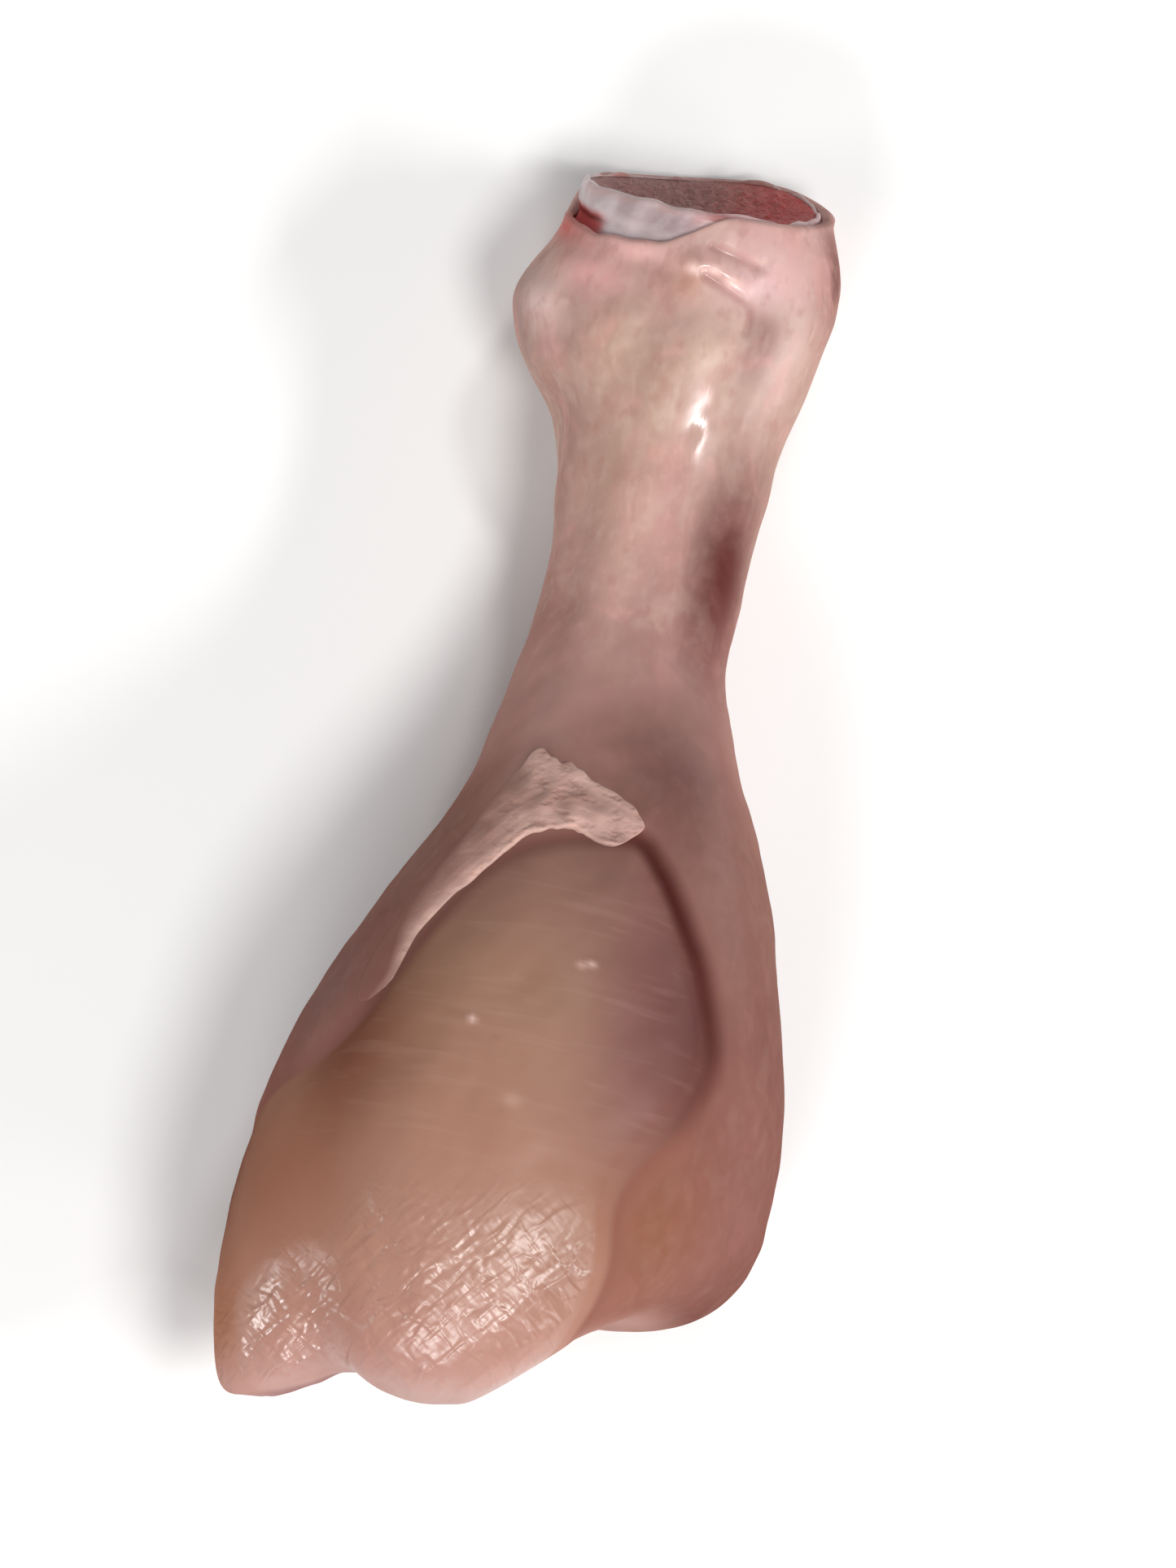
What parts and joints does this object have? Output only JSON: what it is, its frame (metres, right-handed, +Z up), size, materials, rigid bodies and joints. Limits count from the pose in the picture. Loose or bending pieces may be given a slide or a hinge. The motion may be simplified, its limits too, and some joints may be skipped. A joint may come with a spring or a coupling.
{
  "type": "raw chicken drumstick",
  "caption": "Raw skinless chicken drumstick lying with its calf muscle up, cut through the hock, with cartilage, marrow and a torn flap of fascia showing.",
  "frame": {"origin": "centre of the drumstick's footprint, on the surface it lies on", "axes": "+Y along the leg towards the cut hock, -Y towards the knee, +Z up out of the calf muscle, +X to the right of someone at the knee end"},
  "size_m": [0.0464, 0.123, 0.0389],
  "materials": {
    "flesh": "wet raw meat and fascia, glossy and translucent",
    "cartilage": "wet bluish white cartilage, smooth and translucent",
    "marrow": "moist red-brown spongy bone and marrow"
  },
  "bodies": {
    "root": {"flesh": "flesh", "bone": "cartilage", "marrow": "marrow"}
  },
  "joints": []
}
